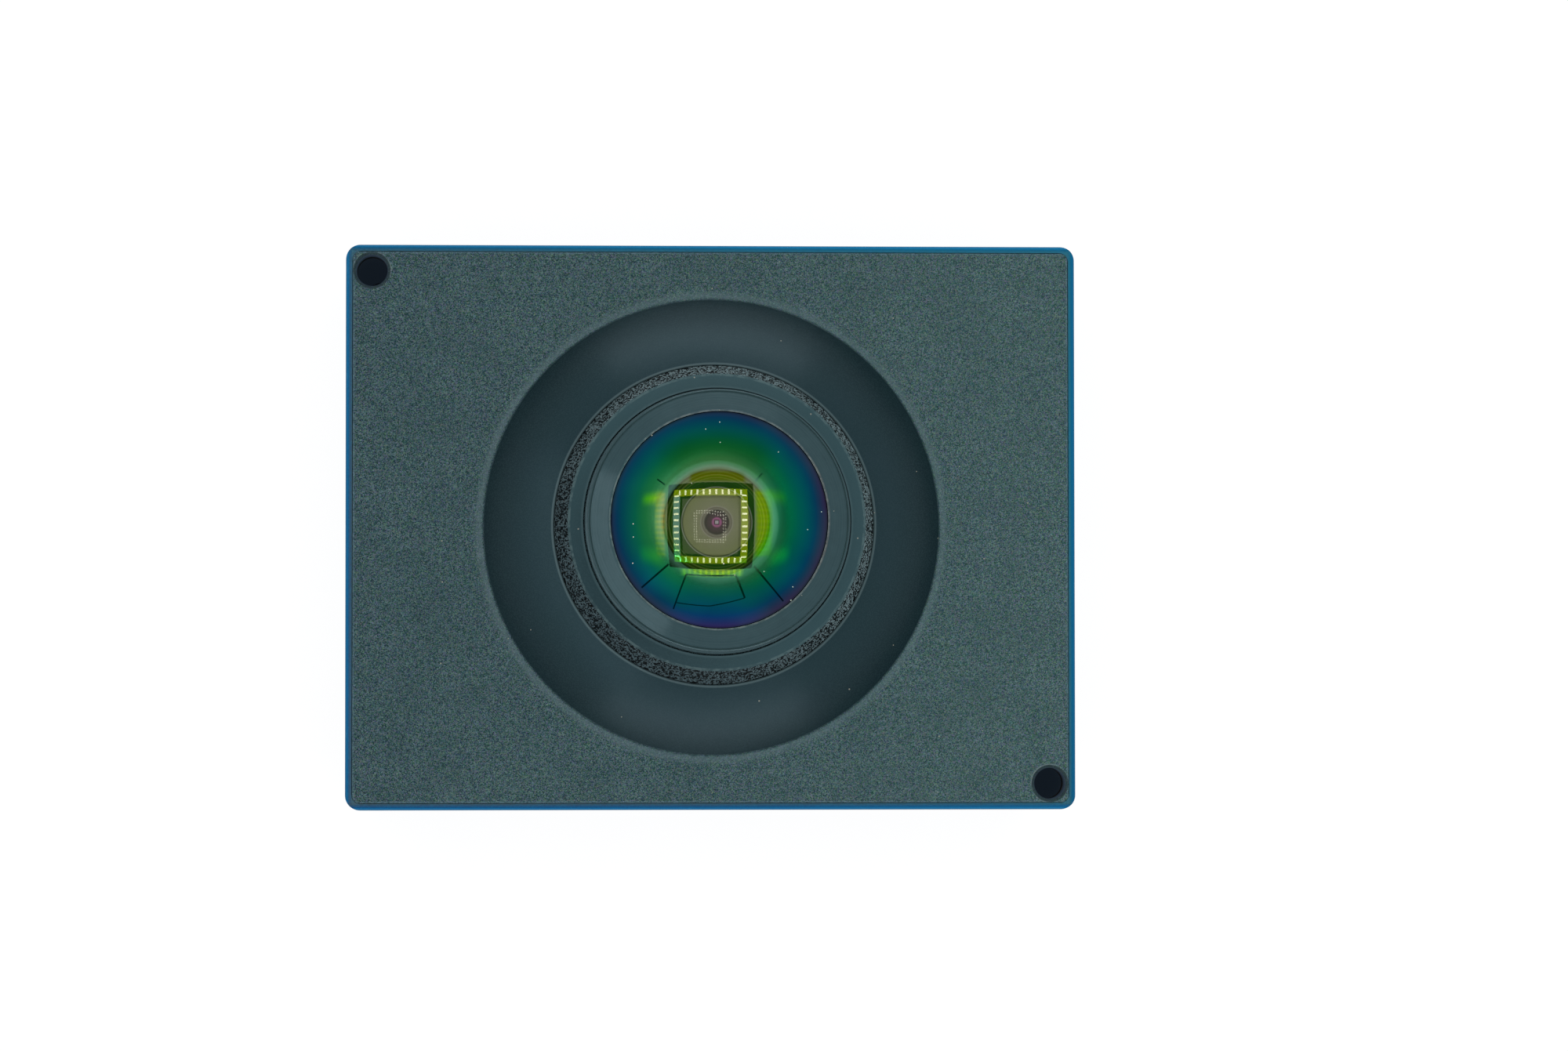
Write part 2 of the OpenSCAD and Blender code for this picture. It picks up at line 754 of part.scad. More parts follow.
module connector_contacts() color([0.85, 0.65, 0.25])
for (s = [-1, 1], k = [-5.5 : 5.5])
    translate([k * contact_pitch - contact_w / 2, port_y + contact_inset,
               port_z + s * (tongue_t + contact_t) / 2 - contact_t / 2])
        cube([contact_w, contact_l, contact_t]);

rear_housing();
cover_gasket();
front_cover();
lens_shroud();
retaining_cap();
lens_barrel();
barrel_seal();
lens_lock_ring();
lens_mount();
front_element();
second_element();
third_element();
fourth_element();
rear_element();
front_spacer();
middle_spacer();
aperture_stop();
rear_spacer();
infrared_filter();
sensor_package();
sensor_die();
sensor_glass();
sensor_board();
main_board();
mezzanine_plug();
mezzanine_socket();
processor_chip();
memory_chip();
shield_can();
power_inductors();
ceramic_capacitors();
board_spacers();
board_screws();
mount_screws();
cover_screws();
thermal_pad();
connector_shell();
connector_tongue();
connector_contacts();
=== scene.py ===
import math

import bpy
from mathutils import Matrix, Vector


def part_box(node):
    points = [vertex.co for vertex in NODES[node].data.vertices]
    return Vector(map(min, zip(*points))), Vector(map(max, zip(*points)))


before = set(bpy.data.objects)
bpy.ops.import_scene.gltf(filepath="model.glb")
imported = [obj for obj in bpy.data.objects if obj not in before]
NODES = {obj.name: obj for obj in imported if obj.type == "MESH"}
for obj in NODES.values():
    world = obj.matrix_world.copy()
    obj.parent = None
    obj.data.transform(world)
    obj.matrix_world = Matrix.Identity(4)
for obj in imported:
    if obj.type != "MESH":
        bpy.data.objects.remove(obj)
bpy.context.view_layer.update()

# A camera module on a white table, seen from above. Lengths are in millimetres, and MM turns them
# into metres.
MM = 0.001


def top_of(node):
    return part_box(node)[1] / MM


def foot_of(node):
    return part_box(node)[0] / MM


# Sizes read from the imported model
BODY_X, BODY_Y, RIM_Z = top_of("rear_housing")
COVER_X, COVER_Y, APERTURE_Z = top_of("front_cover")
CAP_R = top_of("retaining_cap").x
GLASS_TOP = top_of("front_element").z
GLASS_SEAT = foot_of("front_element").z

# Sizes that the part's source gives and a box doesn't
FACE_Z = 20.0
CONE_R = 13.13
APERTURE_R = 9.08
WALL_TOP_Z = FACE_Z + 8.45
SHOULDER_R = 7.46
GLASS_R = 6.0
DOME_R = 12.7
DOME_C = GLASS_TOP - DOME_R
HOLLOW_R = 5.2
HOLLOW_C = GLASS_SEAT - 2.43
HOLE_X, HOLE_Y, HOLE_R = 19.5, 14.75, 0.9
HOLE_CHAMFER = 0.16

# The walls of the corner holes: their colour, which is painted shade, the tint and strength of the
# glow painted on them in place of the light that reaches in, and how far below the face it is weak
# and strong
HOLE_SHADE = (36, 45, 53)
HOLE_TINT = (0.41, 0.66, 1.0, 1.0)
HOLE_GLOW, MOUTH_GLOW = 0.0137, 0.044
HOLE_GLOW_DOWN, MOUTH_GLOW_DOWN = 2.2, 0.2

# Grains, the depths of their bumps, and how the shroud's grain is drawn out along its height
FACE_CELL = 0.05
FACE_BUMP = 0.03
SHROUD_CELL = 0.07
SHROUD_NOISE = 0.11
SHROUD_BUMP = 0.12
SHROUD_DRAWN = (1.0, 1.0, 0.18)
RIDGES_A_MM = 9.0
RIDGE_BUMP = 0.004


def srgb(r, g, b):
    """A colour given as 0 to 255 in sRGB, as a linear one."""
    def line(c):
        c /= 255
        return c / 12.92 if c <= 0.04045 else ((c + 0.055) / 1.055) ** 2.4
    return (line(r), line(g), line(b), 1.0)


# The share of a speck's radius inside its soft edge
SPECK_CORE = 0.7


class Tree:
    """Short calls that add nodes to one material or world."""

    def __init__(self, owner):
        owner.use_nodes = True
        self.nodes = owner.node_tree.nodes
        self.links = owner.node_tree.links
        self.nodes.clear()

    def add(self, kind, sockets=None, **settings):
        node = self.nodes.new("ShaderNode" + kind)
        for name, value in settings.items():
            setattr(node, name, value)
        for name, value in (sockets or {}).items():
            self.put(node.inputs[name], value)
        return node

    def put(self, socket, value):
        if isinstance(value, bpy.types.NodeSocket):
            self.links.new(value, socket)
        else:
            socket.default_value = value

    def math(self, operation, a, b=0.0, clamp=False):
        node = self.add("Math", operation=operation, use_clamp=clamp)
        self.put(node.inputs[0], a)
        self.put(node.inputs[1], b)
        return node.outputs[0]

    def vector(self, operation, a, b=(0, 0, 0), scale=None):
        node = self.add("VectorMath", operation=operation)
        self.put(node.inputs[0], a)
        self.put(node.inputs[1], b)
        if scale is not None:
            self.put(node.inputs["Scale"], scale)
        return node.outputs["Value" if operation in ("LENGTH", "DISTANCE") else "Vector"]

    def steps(self, value, low, high, a=0.0, b=1.0, smooth=True):
        """a below low, b above high, and an eased or a straight run between them."""
        node = self.add("MapRange", interpolation_type="SMOOTHSTEP" if smooth else "LINEAR")
        for k, x in enumerate((value, low, high, a, b)):
            self.put(node.inputs[k], x)
        return node.outputs[0]

    def mix(self, share, a, b, blend="MIX"):
        node = self.add("Mix", data_type="RGBA", blend_type=blend)
        for name, value in (("Factor", share), ("A", a), ("B", b)):
            kind = "Factor_Float" if name == "Factor" else name + "_Color"
            socket = next(s for s in node.inputs if s.identifier == kind)
            self.put(socket, value)
        return next(s for s in node.outputs if s.identifier == "Result_Color")

    def noise(self, place, size, detail=2.0, rough=0.5, warp=0.0):
        """Noise whose features are about size millimetres across."""
        node = self.add("TexNoise", {"Vector": place, "Scale": 1 / size, "Detail": detail,
                                     "Roughness": rough, "Distortion": warp})
        return node.outputs["Fac"]

    def cells(self, place, size, **settings):
        """Cells about size millimetres across."""
        return self.add("TexVoronoi", {"Vector": place, "Scale": 1 / size}, **settings)

    def ramp(self, value, low, high, stops):
        """Colours along value: stops is a list of (value, colour) between low and high."""
        share = self.steps(value, low, high, smooth=False)
        node = self.add("ValToRGB", {"Fac": share})
        band = node.color_ramp
        while len(band.elements) < len(stops):
            band.elements.new(0.5)
        for element, (at, colour) in zip(band.elements, stops):
            element.position = (at - low) / (high - low)
            element.color = colour
        return node.outputs["Color"]

    def bump(self, height, depth):
        """A bump whose full height is depth millimetres."""
        node = self.add("Bump", {"Height": height, "Distance": depth * MM, "Strength": 1.0})
        return node.outputs["Normal"]

    def place(self):
        """Object coordinates in millimetres: the point, its distance from the lens axis, x, y, z."""
        coord = self.add("TexCoord").outputs["Object"]
        point = self.vector("SCALE", coord, scale=1 / MM)
        split = self.add("SeparateXYZ", {"Vector": point})
        x, y, z = split.outputs
        flat = self.vector("MULTIPLY", point, (1, 1, 0))
        return point, self.vector("LENGTH", flat), x, y, z

    def specks(self, point, size, radius, share):
        """1 on rare round specks, seen from above: of cells of the given size a share hold one."""
        cell = self.cells(point, size, voronoi_dimensions="2D")
        reach = radius / size
        near = self.steps(cell.outputs["Distance"], reach * SPECK_CORE, reach, 1.0, 0.0)
        tint = self.add("SeparateColor", {"Color": cell.outputs["Color"]})
        lucky = self.math("LESS_THAN", tint.outputs[0], share)
        return self.math("MULTIPLY", near, lucky)


def from_hole(t, point):
    """Distance from the nearer axis of the two corner holes."""
    flat = t.vector("MULTIPLY", point, (1, 1, 0))
    away = [t.vector("DISTANCE", flat, (k * HOLE_X, -k * HOLE_Y, 0)) for k in (-1, 1)]
    return t.math("MINIMUM", *away)


def in_holes(t, away):
    """1 on the walls of the corner holes, where away is the distance from a hole's axis."""
    return t.steps(away, HOLE_R + 0.01, HOLE_R + 0.03, 1.0, 0.0)


def paint_hole_glow(t, shader, inside, z):
    """A painted glow on the walls of the deep holes, in place of the little light that reaches them,
    more of it near the mouth.
    """
    glow = t.steps(z, FACE_Z - HOLE_GLOW_DOWN, FACE_Z - MOUTH_GLOW_DOWN, HOLE_GLOW, MOUTH_GLOW)
    t.put(shader.inputs["Emission Color"], HOLE_TINT)
    t.put(shader.inputs["Emission Strength"], t.math("MULTIPLY", inside, glow))


def past_edge(t, x, y, edge_x, edge_y):
    """How far a point lies outside a rectangle round the axis, below 0 inside it."""
    return t.math("MAXIMUM", t.math("SUBTRACT", t.math("ABSOLUTE", x), edge_x),
                  t.math("SUBTRACT", t.math("ABSOLUTE", y), edge_y))


def material(name):
    mat = bpy.data.materials.new(name)
    return mat, Tree(mat)


def finish_with(tree, shader):
    tree.add("OutputMaterial", {"Surface": shader.outputs[0]})


def dress(mat, *nodes):
    """Gives CAD nodes a material in every slot."""
    for name in nodes:
        data = NODES[name].data
        if not data.materials:
            data.materials.append(mat)
        for k in range(len(data.materials)):
            data.materials[k] = mat


# --- Materials -----------------------------------------------------------------------------

def blue_housing():
    """Anodised metal. The rim that shows at the front is blue. Its turn from grey to blue towards
    its outside is painted shade and highlight of its rounded edge, and it is painted a little
    lighter at the upper right, as if lit from there. It has slight wear along the edge."""
    mat, t = material("blue_anodised")
    point, _, x, y, z = t.place()
    side = past_edge(t, x, y, BODY_X, BODY_Y)
    # Painted shade and highlight: the ramp from grey inside to bright blue outside stands in for the
    # shading of the rim's rounded edge
    rim = t.ramp(side, -0.45, 0.0, [(-0.40, srgb(60, 86, 104)), (-0.30, srgb(44, 76, 108)),
                                    (-0.16, srgb(4, 78, 124)), (0.0, srgb(0, 98, 142))])
    # Painted light: the rim is lighter towards the upper right, as if lit from there
    rim = t.mix(t.steps(t.math("ADD", x, y), -24, 30, 0.0, 0.45), rim, srgb(2, 120, 166))
    wall = t.mix(t.noise(point, 6.0, 2.0), srgb(4, 80, 122), srgb(6, 94, 140))
    body = t.mix(t.steps(z, RIM_Z - 0.5, RIM_Z - 0.1), wall, rim)
    grain = t.noise(point, 0.1, 2.0, 0.6)
    body = t.mix(t.steps(grain, 0.4, 0.7, 0.0, 0.18), body, srgb(14, 124, 168))
    wear_and_highlight_patches = t.math("MULTIPLY", t.steps(t.noise(point, 0.9, 3.0, 0.65), 0.6, 0.72),
                  t.steps(side, -0.16, -0.02))
    body = t.mix(t.math("MULTIPLY", wear_and_highlight_patches, 0.16), body, srgb(84, 160, 190))
    inside = in_holes(t, from_hole(t, point))
    # Painted shade on the walls of the corner holes, with a painted glow added below
    body = t.mix(inside, body, srgb(*HOLE_SHADE))
    rough = t.math("ADD", t.steps(grain, 0.3, 0.7, 0.38, 0.5), t.math("MULTIPLY", inside, 0.5),
                   clamp=True)
    shader = t.add("BsdfPrincipled", {"Base Color": body, "Roughness": rough,
                                      "Metallic": t.steps(inside, 0, 1, 0.5, 0.0),
                                      "Specular IOR Level": 0.1,
                                      "Normal": t.bump(grain, 0.006)})
    paint_hole_glow(t, shader, inside, z)
    finish_with(t, shader)
    return mat


def moulded_cover():
    """The face has a spark-eroded grain, and is painted lighter to the right, as if lit from there.
    The cone is smooth and painted darker towards its steep foot as shade, with a paler band round
    its foot that is a painted highlight."""
    mat, t = material("moulded_cover")
    point, r, x, y, z = t.place()
    on_face = t.math("MULTIPLY", t.steps(r, CONE_R - 0.1, CONE_R + 0.06),
                     t.steps(z, FACE_Z - 0.3, FACE_Z - 0.02))
    cell = t.cells(point, FACE_CELL).outputs["Color"]
    fine = t.add("SeparateColor", {"Color": cell}).outputs[0]
    cloud = t.noise(point, 3.0, 3.0, 0.65)
    face = t.mix(fine, srgb(28, 45, 49), srgb(93, 126, 132))
    face = t.mix(t.steps(cloud, 0.35, 0.65, 0.0, 0.2), face, srgb(46, 68, 74))
    # Painted light: the face is lighter to the right, as if lit from there
    face = t.mix(t.steps(x, -BODY_X, BODY_X, smooth=False), face, srgb(38, 51, 46), "ADD")
    face = t.mix(0.4, face, cell, "SOFT_LIGHT")
    # A painted highlight on the rounded foot of the cone, just outside it
    foot_highlight = t.math("MULTIPLY", t.steps(r, CONE_R, CONE_R + 0.1),
                       t.steps(r, CONE_R + 0.2, CONE_R + 0.65, 1.0, 0.0))
    face = t.mix(t.math("MULTIPLY", foot_highlight, 0.4), face, srgb(108, 132, 137))
    # Painted shade: the cone is darker towards its steep foot and lighter inwards
    cone = t.mix(t.steps(r, CONE_R, APERTURE_R + 0.6), srgb(23, 42, 48), srgb(37, 59, 66))
    cone = t.mix(t.steps(cloud, 0.3, 0.7, 0.0, 0.25), cone, srgb(28, 54, 56))
    cone = t.mix(t.steps(fine, 0.45, 0.7, 0.0, 0.2), cone, srgb(52, 74, 80))
    # A painted highlight along the lip of the aperture
    lip = t.math("MULTIPLY", t.steps(r, APERTURE_R + 0.1, APERTURE_R + 0.2, 1.0, 0.0),
                 t.steps(z, APERTURE_Z - 0.2, APERTURE_Z - 0.05))
    cone = t.mix(t.math("MULTIPLY", lip, 0.7), cone, srgb(100, 122, 126))
    colour = t.mix(on_face, cone, face)
    edge = past_edge(t, x, y, COVER_X, COVER_Y)
    # A painted highlight along the cover's outer edge, broken up by the grain
    glint = t.math("MULTIPLY", t.steps(edge, -0.16, -0.06), t.steps(fine, 0.2, 0.8, 0.2, 0.7))
    colour = t.mix(glint, colour, srgb(104, 136, 150))
    away = from_hole(t, point)
    mouth_r = HOLE_R + HOLE_CHAMFER
    mouth = t.steps(away, mouth_r, mouth_r + 0.03, 1.0, 0.0)
    colour = t.mix(t.math("MULTIPLY", mouth, 0.7), colour, srgb(48, 62, 67))
    # A painted highlight round the outer edge of each hole's chamfer, in patches
    mouth_edge_highlight = t.steps(t.math("ABSOLUTE", t.math("SUBTRACT", away, mouth_r + 0.04)), 0.02, 0.05,
                   0.5, 0.0)
    colour = t.mix(t.math("MULTIPLY", mouth_edge_highlight, t.steps(cloud, 0.4, 0.6)), colour, srgb(132, 150, 150))
    dust = t.math("MAXIMUM", t.specks(point, 2.6, 0.05, 0.06), t.specks(point, 1.3, 0.035, 0.03))
    colour = t.mix(t.math("MULTIPLY", dust, 0.8), colour, srgb(176, 176, 160))
    inside = in_holes(t, away)
    # Painted shade on the walls of the corner holes, with a painted glow added below
    colour = t.mix(inside, colour, srgb(*HOLE_SHADE))
    rough = t.math("ADD", t.steps(on_face, 0.0, 1.0, 0.27, 0.6, smooth=False),
                   t.math("MULTIPLY", inside, 0.5), clamp=True)
    height = t.math("MULTIPLY", t.math("SUBTRACT", fine, 0.5), t.steps(on_face, 0, 1, 0.06, 1.0))
    shader = t.add("BsdfPrincipled", {"Base Color": colour, "Roughness": rough,
                                      "Specular IOR Level": 0.12,
                                      "Specular Tint": (0.5, 0.85, 1.0, 1.0),
                                      "Normal": t.bump(height, FACE_BUMP)})
    paint_hole_glow(t, shader, inside, z)
    finish_with(t, shader)
    return mat


def textured_shroud():
    """The tapered wall has a coarse grain, drawn out along its height, and a painted highlight in
    patches along its top edge. The shoulder above it is smooth, painted paler along its inner edge
    to lift the shade beside the cap. Both have a sheen painted into their colour by Layer Weight:
    the tips of the grain turn paler edge-on, and the shoulder where it tilts more than about 45
    degrees from the view."""
    mat, t = material("textured_shroud")
    point, r, _, _, z = t.place()
    on_wall = t.math("MULTIPLY", t.steps(z, WALL_TOP_Z - 0.06, WALL_TOP_Z + 0.01, 1.0, 0.0),
                     t.steps(z, APERTURE_Z - 0.3, APERTURE_Z - 0.2))
    tall = t.vector("MULTIPLY", point, SHROUD_DRAWN)
    relief = t.noise(tall, SHROUD_NOISE, 1.0, 0.6, 0.5)
    graze = t.add("LayerWeight", {"Blend": 0.5}).outputs["Facing"]
    # Painted sheen: the tips of the grain turn paler edge-on, by Layer Weight
    tips = t.mix(t.steps(graze, 0.83, 0.91), srgb(100, 122, 129), srgb(158, 184, 190))
    cell = t.cells(tall, SHROUD_CELL).outputs["Color"]
    grit = t.add("SeparateColor", {"Color": cell}).outputs[0]
    grit = t.math("ADD", t.math("MULTIPLY", relief, 0.4), t.math("MULTIPLY", grit, 0.6))
    wall = t.mix(t.steps(grit, 0.5, 0.56), srgb(0, 1, 2), tips)
    smooth = t.mix(t.noise(point, 0.9, 2.0, 0.6), srgb(34, 54, 60), srgb(45, 67, 74))
    fine = t.noise(point, 0.12, 2.0)
    smooth = t.mix(t.steps(fine, 0.45, 0.7, 0.0, 0.2), smooth, srgb(62, 86, 91))
    # Painted sheen: the shoulder is paler where it tilts more than about 45 degrees from the view
    smooth = t.mix(t.steps(graze, 0.262, 0.318, 0.0, 0.5), smooth, srgb(80, 114, 121))
    # Painted light: the shoulder is paler along its inner edge, lifting the shade beside the cap
    inner = t.steps(r, SHOULDER_R + 0.06, SHOULDER_R + 0.18, 0.4, 0.0)
    smooth = t.mix(inner, smooth, srgb(96, 124, 130))
    colour = t.mix(on_wall, smooth, wall)
    # A painted highlight in patches along the chamfer at the top of the wall
    wear_and_highlight_patches = t.steps(t.noise(point, 0.35, 2.0, 0.6), 0.4, 0.6, 0.1, 0.4)
    top_edge_highlight = t.math("MULTIPLY", t.steps(z, WALL_TOP_Z - 0.02, WALL_TOP_Z + 0.02),
                  t.steps(z, WALL_TOP_Z + 0.11, WALL_TOP_Z + 0.17, 1.0, 0.0))
    colour = t.mix(t.math("MULTIPLY", top_edge_highlight, wear_and_highlight_patches), colour, srgb(122, 148, 150))
    dust = t.math("MULTIPLY", t.specks(point, 1.3, 0.05, 0.05), t.math("SUBTRACT", 1.0, on_wall))
    colour = t.mix(t.math("MULTIPLY", dust, 0.75), colour, srgb(180, 182, 168))
    height = t.math("MULTIPLY", relief, t.steps(on_wall, 0, 1, 0.02, 1.0))
    shader = t.add("BsdfPrincipled", {"Base Color": colour, "Specular IOR Level": 0.05,
                                      "Specular Tint": (0.6, 0.9, 1.0, 1.0),
                                      "Roughness": t.steps(on_wall, 0, 1, 0.42, 0.5),
                                      "Normal": t.bump(height, SHROUD_BUMP)})
    finish_with(t, shader)
    return mat


def black_anodised(name, dark, light, rough, edge=None):
    """Turned black metal with faint ridges. Where edge is given, its inner lip at that radius has a
    painted highlight in patches, and the cap's outer flank is painted paler to lift the shade in the
    gap beside it."""
    mat, t = material(name)
    point, r, _, _, _ = t.place()
    colour = t.mix(t.noise(point, 0.8, 2.0, 0.6), dark, light)
    ridges = t.math("MULTIPLY", r, RIDGES_A_MM)
    turned = t.add("TexNoise", {"W": ridges, "Scale": 1.0, "Detail": 2.0},
                   noise_dimensions="1D").outputs["Fac"]
    colour = t.mix(t.steps(turned, 0.35, 0.65, 0.0, 0.15), colour, srgb(80, 102, 106))
    if edge:
        # A painted highlight in patches along the inner lip
        brightened_share = t.steps(t.noise(point, 0.5, 3.0, 0.7), 0.35, 0.65, 0.15, 0.8)
        colour = t.mix(t.math("MULTIPLY", brightened_share, t.steps(r, edge + 0.07, edge + 0.11, 1.0, 0.0)),
                       colour, srgb(124, 138, 138))
        # Painted light: the cap's outer flank is paler, lifting the shade in the gap round it
        flank = t.steps(r, CAP_R - 0.19, CAP_R - 0.17, 0.0, 0.45)
        colour = t.mix(flank, colour, srgb(88, 110, 116))
    dust = t.math("MAXIMUM", t.specks(point, 1.9, 0.045, 0.07), t.specks(point, 0.9, 0.025, 0.05))
    colour = t.mix(t.math("MULTIPLY", dust, 0.8), colour, srgb(196, 196, 178))
    shader = t.add("BsdfPrincipled", {"Base Color": colour, "Roughness": rough,
                                      "Specular IOR Level": 0.17,
                                      "Specular Tint": (0.6, 0.9, 1.0, 1.0),
                                      "Normal": t.bump(turned, RIDGE_BUMP)})
    finish_with(t, shader)
    return mat


# The centre and the outer radius of the coating's rings
COAT_CENTRE = (-0.17, 0.15, 0)
COAT_END = 6.2
# Inside CLEAR_R the dome hides MIDDLE_ALPHA of what lies below, and outside COATED_R all of it
CLEAR_R, COATED_R = 3.3, 4.0
MIDDLE_ALPHA = 0.45


def coated_glass():
    """The front element: its coating turns from green through blue to violet away from the axis,
    a little sooner on one side. Near the axis it is clearer, and the inner lenses show."""
    mat, t = material("coated_glass")
    point, r, _, _, _ = t.place()
    around = t.vector("DISTANCE", t.vector("MULTIPLY", point, (1, 1, 0)), COAT_CENTRE)
    coat = t.ramp(around, 0.0, COAT_END, [
        (0.0, srgb(134, 134, 134)), (2.3, srgb(130, 134, 120)), (2.7, srgb(124, 134, 108)),
        (2.95, srgb(80, 140, 84)), (3.15, srgb(70, 156, 98)), (3.45, srgb(42, 130, 84)),
        (3.65, srgb(24, 105, 65)), (3.9, srgb(13, 94, 56)), (4.2, srgb(7, 87, 58)),
        (4.5, srgb(3, 80, 66)), (4.85, srgb(3, 73, 73)), (5.2, srgb(3, 63, 77)),
        (5.5, srgb(9, 51, 79)), (5.75, srgb(27, 44, 72)), (6.1, srgb(46, 36, 66))])
    # Painted shade just inside the edge of the glass, by its seat
    coat = t.mix(t.steps(r, GLASS_R - 0.18, GLASS_R - 0.08, 0.0, 0.4), coat, srgb(14, 20, 24))
    cloud = t.noise(point, 3.2, 2.0)
    coat = t.mix(t.steps(cloud, 0.35, 0.65, 0.0, 0.1), coat, srgb(4, 92, 72), "SCREEN")
    from_dome = t.vector("DISTANCE", point, (0, 0, DOME_C))
    on_dome = t.steps(from_dome, DOME_R - 0.06, DOME_R - 0.03)
    from_hollow = t.vector("DISTANCE", point, (0, 0, HOLLOW_C))
    on_hollow = t.math("MULTIPLY", t.steps(from_hollow, HOLLOW_R + 0.03, HOLLOW_R + 0.06, 1.0, 0.0),
                       t.math("SUBTRACT", 1.0, on_dome))
    see = t.math("MULTIPLY", t.steps(r, CLEAR_R, COATED_R, MIDDLE_ALPHA, 1.0), on_dome)
    see_in = t.math("MULTIPLY", t.steps(r, 1.8, 3.4, 0.0, 0.1), on_hollow)
    rim = t.math("SUBTRACT", 1.0, t.math("ADD", on_dome, on_hollow), clamp=True)
    alpha = t.math("ADD", t.math("ADD", see, see_in), rim, clamp=True)
    colour = t.mix(rim, coat, srgb(10, 14, 16))
    dust = t.math("MULTIPLY", t.math("MAXIMUM", t.specks(point, 0.8, 0.035, 0.06),
                                     t.specks(point, 1.9, 0.05, 0.1)), on_dome)
    colour = t.mix(dust, colour, srgb(190, 200, 196))
    alpha = t.math("MAXIMUM", alpha, dust)
    shader = t.add("BsdfPrincipled", {"Base Color": colour, "Metallic": 1.0,
                                      "Roughness": t.steps(dust, 0, 1, 0.02, 0.6), "Alpha": alpha})
    finish_with(t, shader)
    return mat


def square_mask(t, x, y, half):
    """1 inside a square round the axis."""
    away = t.math("MAXIMUM", t.math("ABSOLUTE", x), t.math("ABSOLUTE", y))
    return t.steps(away, half - 0.02, half + 0.02, 1.0, 0.0)


# The outer radius of the second element's rings, and the pitch of the fine lines among them
RINGS_END = 5.3
LINE_PITCH = 0.165
# The half widths of the two squares in the pupil
SENSOR_HALF, SPOT_HALF = 0.14, 0.09


def ringed_glass():
    """The second element: a pale disc round the pupil, inside the rings of the lenses below, and
    the sensor as small squares. They are painted here, as no light is traced down to them."""
    mat, t = material("ringed_glass")
    _, r, x, y, _ = t.place()
    colour = t.ramp(r, 0.0, RINGS_END, [
        (0.0, srgb(214, 112, 180)), (0.25, srgb(214, 112, 180)), (0.31, srgb(88, 50, 78)),
        (0.66, srgb(38, 34, 42)),
        (0.74, srgb(166, 164, 144)), (0.84, srgb(148, 146, 122)), (0.89, srgb(196, 196, 172)),
        (0.95, srgb(178, 184, 142)), (1.84, srgb(162, 176, 112)), (1.92, srgb(70, 98, 56)),
        (1.97, srgb(178, 196, 164)), (2.03, srgb(46, 106, 26)), (2.6, srgb(48, 124, 14)),
        (2.66, srgb(120, 156, 48)), (2.72, srgb(62, 106, 8)), (2.92, srgb(70, 114, 12)),
        (2.97, srgb(14, 36, 22)), (3.04, srgb(118, 182, 140)), (3.18, srgb(146, 220, 198)),
        (3.42, srgb(104, 184, 146)), (3.52, srgb(40, 100, 70)), (4.0, srgb(12, 40, 32))])
    under = t.math("MULTIPLY", t.steps(y, -2.4, 0.6, 0.6, 0.0), t.steps(r, 3.0, 3.1))
    colour = t.mix(under, colour, srgb(74, 148, 92))
    turns = t.math("SINE", t.math("MULTIPLY", r, math.tau / LINE_PITCH))
    lines = t.math("MULTIPLY", t.steps(turns, 0.2, 0.9, 0.0, 0.35), t.steps(r, 2.3, 2.5))
    lines = t.math("MULTIPLY", lines, t.steps(r, 2.9, 3.0, 1.0, 0.0))
    colour = t.mix(lines, colour, srgb(150, 176, 96))
    colour = t.mix(square_mask(t, x, y, SENSOR_HALF), colour, srgb(66, 40, 64))
    colour = t.mix(square_mask(t, x, y, SPOT_HALF), colour, srgb(240, 230, 240))
    shader = t.add("BsdfPrincipled", {"Base Color": colour, "Metallic": 0.0, "Roughness": 0.3,
                                      "Specular IOR Level": 0.1})
    finish_with(t, shader)
    return mat


def inner_glass(name, middle, edge, clear):
    """A lens further in: one tint on its axis, another at its edge, and clearest in the middle."""
    mat, t = material(name)
    point, r, _, _, _ = t.place()
    colour = t.mix(t.steps(r, 0.6, 4.2), middle, edge)
    colour = t.mix(t.steps(t.noise(point, 0.5, 2.0), 0.3, 0.7, 0.0, 0.1), colour, edge)
    shader = t.add("BsdfPrincipled", {"Base Color": colour, "Metallic": 0.5, "Roughness": 0.08,
                                      "Alpha": t.steps(r, 0.5, 4.0, clear, 0.75)})
    finish_with(t, shader)
    return mat


PLAIN_BUMP = 0.004


def plain(name, dark, light, size=0.6, rough=0.5, metal=0.0):
    """A finish with mottling of the given size, fine grain and a light bump."""
    mat, t = material(name)
    point = t.place()[0]
    colour = t.mix(t.steps(t.noise(point, size, 3.0, 0.6), 0.3, 0.7), dark, light)
    fine = t.noise(point, size / 6, 2.0)
    shader = t.add("BsdfPrincipled", {
        "Base Color": colour, "Metallic": metal, "Specular IOR Level": 0.4,
        "Roughness": t.steps(fine, 0.3, 0.7, rough - 0.06, rough + 0.06),
        "Normal": t.bump(fine, PLAIN_BUMP)})
    finish_with(t, shader)
    return mat


